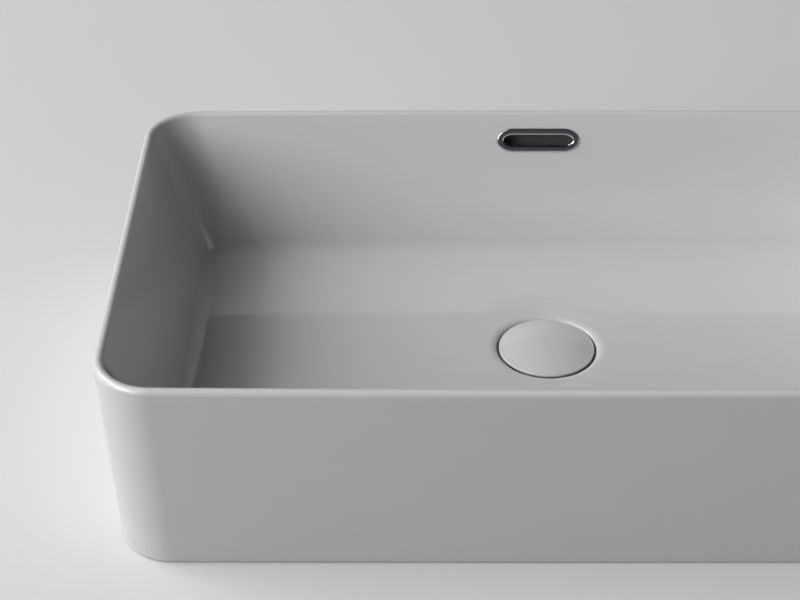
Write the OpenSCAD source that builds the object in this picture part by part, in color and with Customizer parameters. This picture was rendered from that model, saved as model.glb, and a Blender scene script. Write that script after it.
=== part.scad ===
// Countertop basin: a glazed ceramic vessel with a slotted overflow and a push-to-open waste.
// All lengths are in millimetres. The origin is the middle of the foot, on the countertop.
// +Z is up, +X is to the right, and the front of the basin faces -Y.

/* [Basin] */
// Overall width across the rim
basin_w = 600; // [540:5:660]
// Overall depth across the rim, front to back
basin_d = 363; // [335:1:400]
// Height of the rim above the countertop
basin_h = 145; // [133:1:158]
// Thickness of the rounded rim
rim_t = 7; // [6:0.5:9]
// Radius of the outer upright corners at the rim
corner_r = 39; // [34:1:50]
// How much tighter the outer corners are at the foot
foot_corner_drop = 2; // [0:0.5:5]
// How far the front and back edges bow outwards between the corners
rim_bow = 2.2; // [0:0.2:4]
// How far the foot stands in from the rim
foot_inset = 6.5; // [4:0.5:9]
// Rounding of the foot's outer edge
foot_edge_r = 2; // [1:0.5:4]
// Thickness of the outer wall
skirt_t = 8; // [7:0.5:9]

/* [Bowl] */
// Slope of the bowl's inner wall, measured from upright
wall_lean = 20.5; // [18:0.5:23]
// Height of the floor where it meets the walls
floor_z = 44; // [42:0.5:48]
// Fall of the floor from the walls to the drain
floor_fall = 2.5; // [1:0.5:5]
// Thickness of the bowl's walls and floor
bowl_t = 9; // [8:0.5:10]
// Radius of the cove between walls and floor
cove_r = 11; // [8:1:14]
// Radius of the bowl's upright corners just above the floor
inner_corner_r = 24; // [20:1:30]

/* [Drain] */
// How far the drain stands behind the middle of the basin
drain_back = 11; // [0:0.5:25]
// Radius of the drain hole through the ceramic
drain_hole_r = 23; // [22.8:0.1:24]
// Depth of the flange's seat below the floor
seat_depth = 7; // [6.5:0.5:8]
// Width of the rolled edge round the seat
dish_lip = 5; // [3:0.5:7]
// Drop of the rolled edge
dish_drop = 2.2; // [1.5:0.1:3]
// Wall of ceramic round the seat
boss_wall = 6; // [5:0.5:9]
// Height of the boss's lower face above the countertop
boss_z = 8; // [7:0.5:9]

/* [Overflow] */
// Width of the overflow slot
slot_w = 53; // [44:1:60]
// Height of the overflow slot
slot_h = 7.6; // [6.8:0.2:9]
// Distance of the slot's middle below the top of the rim
slot_drop = 20.2; // [18:0.2:24]
// Width of the trim ring's band round the slot
ring_band = 5.2; // [4.4:0.2:6]
// Thickness of the trim ring's band
ring_t = 1.6; // [1.4:0.1:2]
// How far the trim ring's band stands proud of the ceramic
ring_proud = 1.2; // [0.6:0.1:1.3]
// Bevel round the trim ring's outer edge and round the slot
ring_edge = 0.9; // [0.6:0.1:1.2]
// Length of the trim ring's sleeve behind its band
sleeve_l = 5; // [4:0.5:6]
// Wall of the sleeve
sleeve_t = 1; // [0.8:0.1:1.4]
// Thickness of the rubber band on the sleeve
grip_t = 0.9; // [0.6:0.1:1.3]
// Ceramic left before and behind the overflow chamber
chamber_skin = 4.2; // [3.6:0.1:4.6]
// Room beside the sleeve in the overflow chamber
chamber_side = 1.5; // [1:0.5:5]
// Width of the port from the chamber to the drain
port_w = 26; // [20:1:32]
// Height of the port
port_h = 9; // [8:0.5:10]
// Ceramic round the chamber and the port
duct_wall = 5; // [4:0.5:7]

/* [Plug] */
// Radius of the ceramic cap
cap_r = 34.7; // [34:0.1:37]
// Gap between the cap and the ceramic round it
cap_gap = 1.4; // [1:0.1:2]
// Height of the cap's edge
cap_edge_h = 2.4; // [2:0.1:3]
// Rise of the cap's dome above its edge
cap_dome_h = 5.6; // [4:0.2:7]
// How far the plug rises when it opens
plug_lift = 9; // [7:0.5:9]
// Radius of the plate under the cap
plate_r = 26.5; // [24:0.5:28]
// Thickness of that plate
plate_t = 1.5; // [1.2:0.1:2]
// Thickness of the silicone bond between plate and cap
bond_t = 0.6; // [0.4:0.1:0.8]

/* [Waste] */
// Radius of the waste flange
flange_r = 32; // [31:0.5:33]
// Thickness of the waste flange
flange_t = 2; // [1.6:0.2:2.4]
// Thickness of the flange's gasket
gasket_t = 1.5; // [1:0.1:2]
// Outer radius of the tail's G 1 1/4 thread
tail_r = 20.955; // [20.5:0.05:21.2]
// Outer radius of the plain body above the thread
body_r = 20.4; // [20.2:0.1:20.8]
// Radius of the waterway through the waste
bore_r = 17.5; // [17.2:0.1:18]
// Radius of the flange's mouth, where the plug seals
mouth_r = 21.5; // [21:0.1:22]
// How far the tail reaches below the countertop
tail_drop = 45; // [38:1:60]
// Width of the backnut across its flats
nut_af = 56; // [52:1:60]
// Height of the backnut
nut_h = 10; // [8:0.5:12]
// Radius of the washer and of the rubber gasket over the backnut
washer_r = 29; // [26:0.5:30]
// Thickness of that washer
washer_t = 1.5; // [1:0.1:2]
// Thickness of that gasket's disc
cone_disc_t = 5; // [4:0.5:6]
// Length of that gasket's cone inside the drain hole
cone_nose_h = 3.5; // [2.5:0.5:4.5]

/* [Push mechanism] */
// Radius of the plunger's stem
stem_r = 4; // [3.5:0.1:4.4]
// Outer radius of the cartridge's tube
tube_r = 8; // [7.8:0.1:8.4]
// Inner radius of the cartridge's tube
tube_bore_r = 6.4; // [6.2:0.1:6.6]
// Radius of the hub that holds the cartridge
hub_r = 11.5; // [11.4:0.1:11.8]
// Height of the hub
hub_h = 10; // [9:0.5:11]
// Width of the crossbar
bar_w = 5; // [4:0.5:7]
// Width of the cartridge's hexagon across its flats
collar_af = 19; // [18:0.5:20]
// Height of that hexagon
collar_h = 3; // [2.5:0.5:4]
// Radius of the guide pin that the index rotor turns on
pin_r = 2.5; // [2:0.1:2.8]
// Radius over the index rotor's lugs
rotor_lug_r = 5.8; // [5.4:0.1:6]
// Height of the index rotor
rotor_h = 5.2; // [4.5:0.1:6]
// Radius of the spring's wire
wire_r = 0.5; // [0.4:0.05:0.55]
// Turns of the spring
spring_turns = 7; // [6:1:8]
// Height of the spring with the plug closed
spring_h = 12.6; // [12:0.1:16]

/* [Hidden] */
$fn = 96;

// Overrun of a cut past the face that it opens
cut = 1;
// Clearance of pieces that are screwed or pushed together
fit_gap = 0.05;
// Clearance between moving pieces that don't guide each other
free_gap = 0.4;
// Small bevel on turned metal
bevel = 0.5;
// Clearance between the cap and the waste flange
cap_clear = 0.5;
// Clearance left at the end of a stroke
stop_gap = 0.1;

// Steps of the basin's outline along a corner, a long side and a short side
corner_steps = 8;
long_steps = 8;
short_steps = 8;
// Steps of the rounded rim, the foot's edge, the cove, the floor, the drain's edge and the cap's dome
rim_steps = 8;
foot_edge_steps = 2;
cove_steps = 5;
floor_steps = 6;
dish_steps = 5;
dome_steps = 10;

// The rim is a full round, and the two walls leave it at a tangent
rim_r = rim_t / 2;
rim_z = basin_h - rim_r;
out_lean = atan(foot_inset / rim_z);
out_touch = [rim_r * (1 - cos(out_lean)), rim_z - rim_r * sin(out_lean)];
in_touch = [rim_r * (1 + cos(wall_lean)), rim_z + rim_r * sin(wall_lean)];
// Share of the rim's bow that is left at the foot
foot_bow_share = 0.25;

// An inset is how far a surface lies inside the rim's outermost line, at a height z
function out_inset(z) = out_touch[0] + (out_touch[1] - z) * tan(out_lean);
function skirt_inset(z) = out_inset(z) + skirt_t / cos(out_lean);
function bowl_inset(z) = in_touch[0] + (in_touch[1] - z) * tan(wall_lean);
function shell_inset(z) = bowl_inset(z) - bowl_t / cos(wall_lean);
function bow_at(z) = rim_bow * (foot_bow_share + (1 - foot_bow_share) * z / basin_h);
function out_corner(z) = corner_r - foot_corner_drop * (1 - z / rim_z);
function bowl_corner(z) =
    let (down = (in_touch[1] - z) / (in_touch[1] - cove_top_z))
    (corner_r - in_touch[0]) * (1 - down) + inner_corner_r * down;

// The cove's centre, and the height at which it meets the wall
cove_z = floor_z + cove_r;
cove_inset = bowl_inset(cove_z) + cove_r / cos(wall_lean);
cove_top_z = cove_z - cove_r * sin(wall_lean);

// The underside follows the cove at the bowl's thickness
shell_r = cove_r + bowl_t;
// Half width of the rounded bottom of the floor's valley
valley_r = 36;
// How late on its way to the drain the floor leaves its valley for the dish's level
dish_ease = 16;
// Share of the boss's radius at which the underside's innermost ring lies, inside the boss
inside_boss_share = 0.6;

// The hollow between the two walls closes where they come this near
hollow_gap = 4;
hollow_z = (shell_inset(0) - skirt_inset(0) - hollow_gap) / (tan(wall_lean) - tan(out_lean));

// Drain and seat
dish_z = floor_z - floor_fall;
seat_z = dish_z - seat_depth;
seat_r = cap_r + cap_gap;
dish_r = seat_r + dish_lip;
// Level floor left round the rolled edge
dish_flat = 1.5;
boss_r = seat_r + boss_wall;
// Ceramic between the gasket's nose and the port
cone_nose_gap = 3.5;
port_z = boss_z + cone_nose_h + cone_nose_gap;

// Overflow
slot_z = basin_h - slot_drop;
sleeve_hole_grow = 2 * (sleeve_t + grip_t + fit_gap);
chamber_w = slot_w + sleeve_hole_grow + 2 * chamber_side;
chamber_top_z = slot_z + (slot_h + sleeve_hole_grow) / 2 + cut / 2;
recess_depth = ring_t - ring_proud + fit_gap;
recess_gap = 0.25;
// Place and length of the rubber band as shares of the sleeve's length
grip_back_share = 0.75;
grip_length_share = 0.6;

// Levels of the waste, with the plug closed
flange_z = seat_z + gasket_t;
flange_top = flange_z + flange_t;
throat_z = flange_top - (mouth_r - bore_r);
// Shoulder under the flange that centres the waste in the drain hole
shoulder_h = 5;
shoulder_gap = 1;
shoulder_r = drain_hole_r - shoulder_gap;
cap_z = flange_top + cap_clear;
cap_top = cap_z + cap_edge_h + cap_dome_h;
nut_top = boss_z - cone_disc_t - washer_t;
nut_z = nut_top - nut_h;
// Thread left free above the backnut's gasket, and the relief below the backnut
thread_top = boss_z - cone_disc_t / 2;
relief_gap = 3;
relief_h = 1.5;
relief_z = nut_z - relief_gap - relief_h;
// Overflow windows in the waste's wall
window_w = 14;
windows = 4;
// Gap between the gasket's nose and the drain hole
nose_gap = 0.2;

// Levels of the plug
plate_z = flange_top + free_gap;
// Hub and lip that hold the seal under the plate
seal_hub_r = 15;
seal_lip_r = 16.4;
seal_lip_h = 0.7;
seal_hub_h = 3.7;
seal_hub_z = plate_z - seal_hub_h;
// Threaded boss for the stem
plate_boss_r = 7.5;
plate_boss_h = 3.8;
plate_boss_z = seal_hub_z - plate_boss_h;
stem_top = plate_z - bevel;

// Levels of the cartridge
hub_top = port_z - cut;
hub_z = hub_top - hub_h;
collar_top = hub_top + collar_h;
// Bush that guides the stem
bush_collar_r = 8.2;
bush_collar_h = 2.5;
bush_h = 4;
bush_z = collar_top - bush_h;
// The plunger's piston stops just under the bush when the plug is open
piston_r = tube_bore_r - free_gap;
piston_h = 4.4;
piston_top = bush_z - plug_lift - stop_gap;
piston_z = piston_top - piston_h;
// Index rotor under the piston, with its lugs, and the pin's tip below it
rotor_gap = 0.3;
rotor_top = piston_z - rotor_gap;
rotor_z = rotor_top - rotor_h;
rotor_r = 4.6;
rotor_lug_w = 2.2;
rotor_lugs = 4;
lug_height_share = 0.6;
pin_tip = 1.5;
pin_z = rotor_z - pin_tip;
// Return spring, with the sides of its wire and the steps of one turn
spring_top = rotor_z - rotor_gap;
spring_z = spring_top - spring_h;
spring_r = 4.6;
spring_sides = 6;
spring_rings = 12;
// End cap that closes the cartridge under the spring
end_spigot_h = 3;
end_cap_h = 2;
end_top = spring_z - stop_gap;
tube_z = end_top - end_spigot_h;
// Locknut of the stem under the plate
stem_nut_af = 13;
stem_nut_h = 4;
stem_nut_z = plate_boss_z - stem_nut_h - fit_gap;
// Cord radius of the O-rings, the land beside a groove, and the two grooves
o_ring_r = 0.8;
o_ring_land = 0.5;
groove_h = 2 * (o_ring_r + fit_gap);
groove_z = collar_top + o_ring_land / 2;
counterbore_r = tube_r + groove_h + 2 * fit_gap;

CERAMIC = "#dddddf";
CHROME = "#9a9da1";
BRASS = "#b9a166";
RUBBER = "#2b2b2d";
PLASTIC = "#e7e6e2";

// Points of the outline that lies at one inset and height, anticlockwise from +X
function outline(inset, z, r) =
    let (
        hx = basin_w / 2 - inset,
        hy = basin_d / 2 - inset,
        bow = bow_at(z) / hy,
        flat = [
            for (c = [0:3]) each
                let (
                    mx = (hx - r) * (c == 0 || c == 3 ? 1 : -1),
                    my = (hy - r) * (c < 2 ? 1 : -1),
                    along_x = c == 0 || c == 2,
                    steps = along_x ? long_steps : short_steps,
                    run = along_x ? 2 * (hx - r) : 2 * (hy - r),
                    dir = 90 * (c + 2),
                    end = [mx + r * cos(90 * (c + 1)), my + r * sin(90 * (c + 1))]
                )
                concat(
                    [for (k = [0:corner_steps])
                        let (a = 90 * (c + k / corner_steps)) [mx + r * cos(a), my + r * sin(a)]],
                    [for (k = [1:steps - 1])
                        end + run * k / steps * [cos(dir), sin(dir)]]
                )
        ]
    )
    [for (p = flat) [p[0], p[1] * (1 - bow * pow(p[0] / hx, 2)), z]];

// The floor is a shallow valley: this share of its fall is reached at a place y along its depth
function valley(y) =
    let (
        reach = back_of(cove_inset) - (y > drain_back ? 1 : -1) * drain_back,
        away = min(abs(y - drain_back), reach)
    )
    away < valley_r
        ? 1 - away * away / (valley_r * reach)
        : pow(reach - away, 2) / (reach * (reach - valley_r));

// A ring of the cove, let down into the valley by a share
function let_down(ring, share) =
    [for (p = ring) [p[0], p[1], p[2] - floor_fall * share * valley(p[1])]];

// The outline drawn in towards a circle round the drain: share 0 is the outline, 1 is the circle.
// It lies in the valley, with z as the level of the cove, and reaches the dish's level at the circle.
function drawn_in(ring, r, z, share) =
    [for (p = ring)
        let (
            d = [p[0], p[1] - drain_back],
            on = [0, drain_back] + d * r / norm(d),
            y = p[1] + (on[1] - p[1]) * share,
            late = pow(share, dish_ease)
        )
        [p[0] + (on[0] - p[0]) * share, y, z - floor_fall * (late + (1 - late) * valley(y))]];

function cove_point(r, a) = [cove_inset - r * cos(a), cove_z - r * sin(a)];

cove_ring = outline(cove_inset, floor_z, inner_corner_r - cove_r * cos(wall_lean));
shell_ring = outline(cove_inset, cove_z - shell_r, inner_corner_r + bowl_t - shell_r * cos(wall_lean));

under_rings = [
    for (s = [floor_steps:-1:1])
        drawn_in(shell_ring, boss_r * inside_boss_share, floor_z - bowl_t, s / floor_steps),
    for (k = [cove_steps:-1:0])
        let (a = wall_lean + (90 - wall_lean) * k / cove_steps, p = cove_point(shell_r, a))
        let_down(outline(p[0], p[1], inner_corner_r + bowl_t - shell_r * (cos(wall_lean) - cos(a))),
            k / cove_steps)
];

hollow_rings = [
    outline(shell_inset(hollow_z), hollow_z, bowl_corner(hollow_z) + bowl_t),
    outline((shell_inset(hollow_z) + skirt_inset(hollow_z)) / 2, hollow_z + hollow_gap / 2,
        out_corner(hollow_z) - skirt_t),
    outline(skirt_inset(hollow_z), hollow_z, out_corner(hollow_z) - skirt_t)
];

foot_rings = [
    outline(skirt_inset(0), 0, out_corner(0) - skirt_t),
    for (k = [foot_edge_steps:-1:0]) let (a = 90 * k / foot_edge_steps)
        outline(out_inset(foot_edge_r) + foot_edge_r * (1 - cos(a)), foot_edge_r * (1 - sin(a)),
            out_corner(0) - foot_edge_r * (1 - cos(a)))
];

rim_rings = [
    for (k = [0:rim_steps])
        let (
            a = -out_lean + (180 - wall_lean + out_lean) * k / rim_steps,
            inset = rim_r * (1 - cos(a))
        )
        outline(inset, rim_z + rim_r * sin(a), corner_r - inset)
];

bowl_rings = [
    for (k = [0:cove_steps])
        let (a = wall_lean + (90 - wall_lean) * k / cove_steps, p = cove_point(cove_r, a))
        let_down(outline(p[0], p[1], inner_corner_r - cove_r * (cos(wall_lean) - cos(a))),
            k / cove_steps),
    for (s = [1:floor_steps]) drawn_in(cove_ring, dish_r + dish_flat, floor_z, s / floor_steps),
    drawn_in(cove_ring, seat_r * inside_boss_share, floor_z, 1)
];

// Skins a stack of rings into one closed solid, with a flat cap at each end
module skin(rings) {
    n = len(rings[0]);
    points = [for (ring = rings) each ring];
    last = (len(rings) - 1) * n;
    sides = [
        for (k = [0:len(rings) - 2]) for (i = [0:n - 1])
            let (a = k * n + i, b = k * n + (i + 1) % n)
            each [[a, a + n, b], [b, a + n, b + n]]
    ];
    polyhedron(points, concat(sides, [[for (i = [0:n - 1]) i]], [[for (i = [n - 1:-1:0]) last + i]]));
}

module at_drain(z = 0) {
    translate([0, drain_back, z]) children();
}

// The overflow's own frame: the origin is the middle of the slot on the wall, and +Z leaves the wall
module at_overflow() {
    translate([0, back_of(bowl_inset(slot_z)), slot_z]) rotate([90 - wall_lean, 0, 0]) children();
}

function back_of(inset) = basin_d / 2 - inset;

module stadium(w, h) {
    square([w - h, h], center = true);
    for (side = [-1, 1]) translate([side * (w - h) / 2, 0]) circle(d = h);
}

module stadium_ring(grow, hole_grow, h) {
    linear_extrude(h) difference() {
        stadium(slot_w + grow, slot_h + grow);
        stadium(slot_w + hole_grow, slot_h + hole_grow);
    }
}

// Section drawn in X and Z, led round a stadium's middle line of length run
module led_round(run, reach) {
    for (side = [0, 1]) mirror([side, 0, 0]) translate([run / 2, 0, 0]) intersection() {
        rotate_extrude() children();
        translate([0, -reach, -reach]) cube([reach, 2 * reach, 2 * reach]);
    }
    across(run) {
        children();
        mirror([1, 0]) children();
    }
}

// Profile drawn in Y and Z, given the width w across X
module across(w) {
    rotate([90, 0, 90]) translate([0, 0, -w / 2]) linear_extrude(w) children();
}

module ring(outer, inner, h) {
    difference() {
        cylinder(r = outer, h = h);
        translate([0, 0, -cut]) cylinder(r = inner, h = h + 2 * cut);
    }
}

module hexagon(af, h) {
    cylinder(r = af / 2 / cos(30), h = h, $fn = 6);
}

module boss() {
    at_drain(boss_z) cylinder(r = boss_r, h = dish_z - bowl_t / 2 - boss_z);
}

// Ribs and bottom that turn the hollow behind the slot into a chamber, and the casing of its port
module duct_casing() {
    top_z = hollow_z + hollow_gap;
    across(chamber_w + 2 * duct_wall) polygon([
        [back_of(bowl_inset(top_z)) + bowl_t / 2, top_z],
        [back_of(bowl_inset(cove_top_z)) + bowl_t / 2, cove_top_z],
        [back_of(cove_inset), floor_z - bowl_t / 2],
        [back_of(cove_inset), boss_z],
        [back_of(out_inset(boss_z)) - skirt_t / 2, boss_z],
        [back_of(out_inset(top_z)) - skirt_t / 2, top_z]
    ]);
    across(port_w + 2 * duct_wall) polygon([
        [drain_back + boss_r * inside_boss_share, boss_z],
        [back_of(cove_inset) + duct_wall, boss_z],
        [back_of(cove_inset) + duct_wall, (floor_z + dish_z - bowl_t) / 2],
        [drain_back + boss_r * inside_boss_share, (floor_z + dish_z - bowl_t) / 2]
    ]);
}

module duct_void() {
    across(chamber_w) polygon([
        [back_of(bowl_inset(chamber_top_z)) + chamber_skin / cos(wall_lean), chamber_top_z],
        [back_of(bowl_inset(cove_top_z)) + chamber_skin / cos(wall_lean), cove_top_z],
        [back_of(bowl_inset(floor_z)), port_z + port_h],
        [back_of(bowl_inset(floor_z)), port_z],
        [back_of(out_inset(port_z)) - chamber_skin, port_z],
        [back_of(out_inset(chamber_top_z)) - chamber_skin, chamber_top_z]
    ]);
    across(port_w) translate([drain_back, port_z])
        square([back_of(bowl_inset(floor_z)) + duct_wall - drain_back, port_h]);
}

// Seat for the waste flange, with the rolled edge of the floor round it
module seat_cut() {
    at_drain() rotate_extrude() polygon(concat(
        [[0, dish_z + cut], [0, seat_z], [seat_r, seat_z]],
        [for (k = [dish_steps:-1:0]) let (a = 90 * k / dish_steps)
            [seat_r + dish_lip * (1 - sin(a)), dish_z - dish_drop * (1 - cos(a))]],
        [[dish_r, dish_z + cut]]
    ));
}

module overflow_hole() {
    at_overflow() {
        translate([0, 0, -recess_depth]) linear_extrude(recess_depth + cut)
            stadium(slot_w + 2 * (ring_band + recess_gap), slot_h + 2 * (ring_band + recess_gap));
        translate([0, 0, -chamber_skin - cut]) linear_extrude(chamber_skin + cut)
            stadium(slot_w + sleeve_hole_grow, slot_h + sleeve_hole_grow);
    }
}

module basin_body() {
    color(CERAMIC) difference() {
        union() {
            skin(concat(under_rings, hollow_rings, foot_rings, rim_rings, bowl_rings));
            boss();
            duct_casing();
        }
        seat_cut();
        at_drain(boss_z - cut) cylinder(r = drain_hole_r, h = seat_z - boss_z + 2 * cut);
        duct_void();
        overflow_hole();
    }
}

// Chromed trim of the overflow: a flat band with bevelled edges, and a sleeve behind it
module overflow_ring() {
    inner = slot_h / 2;
    outer = inner + ring_band;
    back = ring_proud - ring_t;
    color(CHROME) at_overflow() led_round(slot_w - slot_h, slot_w) polygon([
        [inner, back - sleeve_l], [inner + sleeve_t, back - sleeve_l], [inner + sleeve_t, back],
        [outer, back], [outer, ring_proud - ring_edge], [outer - ring_edge, ring_proud],
        [inner + ring_edge, ring_proud], [inner, ring_proud - ring_edge]
    ]);
}

// Rubber band that grips the sleeve in the ceramic
module overflow_grip() {
    inner = 2 * (sleeve_t + fit_gap / 2);
    color(RUBBER) at_overflow() translate([0, 0, -recess_depth - sleeve_l * grip_back_share])
        stadium_ring(sleeve_hole_grow - fit_gap, inner, sleeve_l * grip_length_share);
}

// Ceramic cap: a shallow dome with a pocket for its plate
module plug_cap() {
    edge_r = cap_r - bevel;
    dome_r = (edge_r * edge_r + cap_dome_h * cap_dome_h) / (2 * cap_dome_h);
    span = asin(edge_r / dome_r);
    pocket_r = plate_r + bevel;
    pocket_top = plate_z + plate_t + bond_t;
    color(CERAMIC) at_drain() rotate_extrude() polygon(concat(
        [[0, pocket_top], [pocket_r, pocket_top], [pocket_r, cap_z], [edge_r - bevel, cap_z],
         [cap_r, cap_z + cap_edge_h / 2], [cap_r, cap_z + cap_edge_h - bevel]],
        [for (k = [0:dome_steps]) let (a = span * (1 - k / dome_steps))
            [dome_r * sin(a), cap_top - dome_r * (1 - cos(a))]]
    ));
}

module cap_bond() {
    color(PLASTIC) at_drain(plate_z + plate_t) cylinder(r = plate_r - bevel, h = bond_t);
}

// Plate that carries the cap, with the hub for the seal and a threaded boss for the stem
module cap_plate() {
    color(CHROME) at_drain() difference() {
        union() {
            translate([0, 0, plate_z]) cylinder(r = plate_r, h = plate_t);
            translate([0, 0, seal_hub_z]) cylinder(r = seal_hub_r, h = seal_hub_h);
            translate([0, 0, seal_hub_z]) cylinder(r = seal_lip_r, h = seal_lip_h);
            translate([0, 0, plate_boss_z]) cylinder(r = plate_boss_r, h = plate_boss_h);
        }
        translate([0, 0, plate_boss_z - cut])
            cylinder(r = stem_r + fit_gap, h = stem_top + fit_gap - plate_boss_z + cut);
    }
}

// Radius of the flange's sloping mouth at a height
function mouth_at(z) = bore_r + z - throat_z;

module plug_seal() {
    low = seal_hub_z + seal_lip_h + fit_gap;
    high = plate_z - bevel;
    inner = seal_hub_r + fit_gap;
    color(RUBBER) at_drain() rotate_extrude() polygon([
        [inner, low], [mouth_at(low) - free_gap, low], [mouth_at(high) - free_gap, high],
        [mouth_at(high) - free_gap, plate_z - fit_gap], [inner, plate_z - fit_gap]
    ]);
}

// Plunger: a stem threaded at its top, a piston that stops it, and the pin for the index rotor
module plunger() {
    color(BRASS) at_drain() union() {
        translate([0, 0, piston_z]) cylinder(r = piston_r, h = piston_h);
        translate([0, 0, piston_z]) cylinder(r = stem_r, h = stem_top - piston_z);
        translate([0, 0, pin_z]) cylinder(r = pin_r, h = piston_z - pin_z + bevel);
    }
}

module stem_locknut() {
    color(BRASS) at_drain(stem_nut_z) difference() {
        hexagon(stem_nut_af, stem_nut_h);
        translate([0, 0, -cut]) cylinder(r = stem_r + fit_gap, h = stem_nut_h + 2 * cut);
    }
}

// Index rotor: turns an eighth of a turn at each stroke
module index_rotor() {
    color(PLASTIC) at_drain(rotor_z) difference() {
        union() {
            cylinder(r = rotor_r, h = rotor_h);
            intersection() {
                cylinder(r = rotor_lug_r, h = rotor_h * lug_height_share);
                for (k = [0:rotor_lugs / 2 - 1]) rotate([0, 0, 360 * k / rotor_lugs])
                    translate([-tube_r, -rotor_lug_w / 2, 0]) cube([2 * tube_r, rotor_lug_w, rotor_h]);
            }
        }
        translate([0, 0, -cut]) cylinder(r = pin_r + fit_gap, h = rotor_h + 2 * cut);
    }
}

// Return spring: one unbroken wire, wound in a helix
module return_spring() {
    rise = spring_h - 2 * wire_r;
    count = spring_turns * spring_rings;
    slope = atan(rise / (2 * PI * spring_r * spring_turns));
    color(CHROME) at_drain(spring_z + wire_r) skin([
        for (k = [0:count])
            let (a = 360 * k / spring_rings)
            [for (i = [0:spring_sides - 1])
                let (
                    b = 360 * i / spring_sides,
                    out = spring_r + wire_r * cos(b),
                    tip = wire_r * sin(b)
                )
                [
                    out * cos(a) + tip * sin(slope) * sin(a),
                    out * sin(a) - tip * sin(slope) * cos(a),
                    rise * k / count + tip * cos(slope)
                ]]
    ]);
}

// Cartridge: a tube with a hexagon that screws down on the hub
module cartridge_housing() {
    color(BRASS) at_drain() difference() {
        union() {
            translate([0, 0, tube_z]) cylinder(r = tube_r, h = collar_top - tube_z);
            translate([0, 0, hub_top]) hexagon(collar_af, collar_h);
        }
        translate([0, 0, tube_z - cut]) cylinder(r = tube_bore_r, h = collar_top - tube_z + 2 * cut);
    }
}

module cartridge_bush() {
    color(PLASTIC) at_drain() difference() {
        union() {
            translate([0, 0, bush_z]) cylinder(r = tube_bore_r - fit_gap, h = bush_h);
            translate([0, 0, collar_top]) cylinder(r = bush_collar_r, h = bush_collar_h);
        }
        translate([0, 0, bush_z - cut])
            cylinder(r = stem_r + fit_gap, h = bush_h + bush_collar_h + 2 * cut);
        translate([0, 0, groove_z]) cylinder(r = stem_r + groove_h + fit_gap, h = groove_h);
    }
}

module o_ring(r) {
    rotate_extrude() translate([r, 0]) circle(r = o_ring_r);
}

module stem_o_ring() {
    color(RUBBER) at_drain(groove_z + o_ring_r + fit_gap) o_ring(stem_r + 2 * fit_gap + o_ring_r);
}

module cartridge_end() {
    color(PLASTIC) at_drain() union() {
        translate([0, 0, tube_z - end_cap_h]) cylinder(r = tube_r, h = end_cap_h);
        translate([0, 0, tube_z - end_cap_h])
            cylinder(r = tube_bore_r - fit_gap, h = end_cap_h + end_spigot_h);
    }
}

// O-ring in the hub's counterbore, under the cartridge's hexagon
module housing_o_ring() {
    color(RUBBER) at_drain(hub_top - o_ring_r - fit_gap) o_ring(tube_r + 2 * fit_gap + o_ring_r);
}

// Waste: flange with a sloping mouth, body with overflow windows, crossbar with hub, threaded tail
module waste_body() {
    color(CHROME) at_drain() difference() {
        union() {
            difference() {
                rotate_extrude() polygon([
                    [0, -tail_drop], [tail_r - bevel, -tail_drop], [tail_r, bevel - tail_drop],
                    [tail_r, relief_z], [body_r, relief_z], [body_r, relief_z + relief_h],
                    [tail_r, relief_z + relief_h], [tail_r, thread_top], [body_r, thread_top],
                    [body_r, flange_z - shoulder_h], [shoulder_r, flange_z - shoulder_h],
                    [shoulder_r, flange_z], [flange_r, flange_z], [flange_r, flange_top - bevel],
                    [flange_r - bevel, flange_top], [0, flange_top]
                ]);
                translate([0, 0, -tail_drop - cut])
                    cylinder(r = bore_r, h = flange_top + tail_drop + 2 * cut);
                rotate_extrude() polygon([
                    [0, throat_z], [bore_r, throat_z], [mouth_r, flange_top],
                    [mouth_r, flange_top + cut], [0, flange_top + cut]
                ]);
                for (k = [0:windows / 2 - 1]) rotate([0, 0, 360 * (k + 1 / 2) / windows])
                    translate([-drain_hole_r, -window_w / 2, port_z])
                        cube([2 * drain_hole_r, window_w, port_h]);
            }
            translate([0, 0, hub_z]) cylinder(r = hub_r, h = hub_h);
            translate([-(bore_r + body_r) / 2, -bar_w / 2, hub_z])
                cube([bore_r + body_r, bar_w, hub_h - cut]);
        }
        translate([0, 0, hub_z - cut]) cylinder(r = tube_r + fit_gap, h = hub_h + 2 * cut);
        translate([0, 0, hub_top - groove_h]) cylinder(r = counterbore_r, h = hub_h);
    }
}

module flange_gasket() {
    color(RUBBER) at_drain(seat_z) ring(flange_r - bevel, drain_hole_r + bevel, gasket_t);
}

module cone_gasket() {
    inner = tail_r + 2 * fit_gap;
    color(RUBBER) at_drain(boss_z) rotate_extrude() polygon([
        [inner, -cone_disc_t], [washer_r, -cone_disc_t], [washer_r, 0], [drain_hole_r - nose_gap, 0],
        [inner + bevel, cone_nose_h], [inner, cone_nose_h]
    ]);
}

module slip_washer() {
    color(PLASTIC) at_drain(nut_top) ring(washer_r, tail_r + 2 * fit_gap, washer_t);
}

module backnut() {
    color(BRASS) at_drain(nut_z) difference() {
        hexagon(nut_af, nut_h);
        translate([0, 0, -cut]) cylinder(r = tail_r + fit_gap, h = nut_h + 2 * cut);
    }
}

basin_body();
overflow_ring();
overflow_grip();
plug_cap();
cap_bond();
cap_plate();
plug_seal();
plunger();
stem_locknut();
index_rotor();
return_spring();
cartridge_housing();
cartridge_bush();
stem_o_ring();
cartridge_end();
housing_o_ring();
waste_body();
flange_gasket();
cone_gasket();
slip_washer();
backnut();
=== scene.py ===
"""Looks of a glazed ceramic countertop basin with a slotted overflow and a push-to-open waste.

Lengths are in millimetres, and a mesh is turned to metres when it is made. The frame is the part's own:
the origin is the middle of the foot on the countertop, +Z is up and the front of the basin faces -Y.
"""
import math

import bmesh
import bpy
import numpy as np
from mathutils import Matrix, Vector


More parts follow.
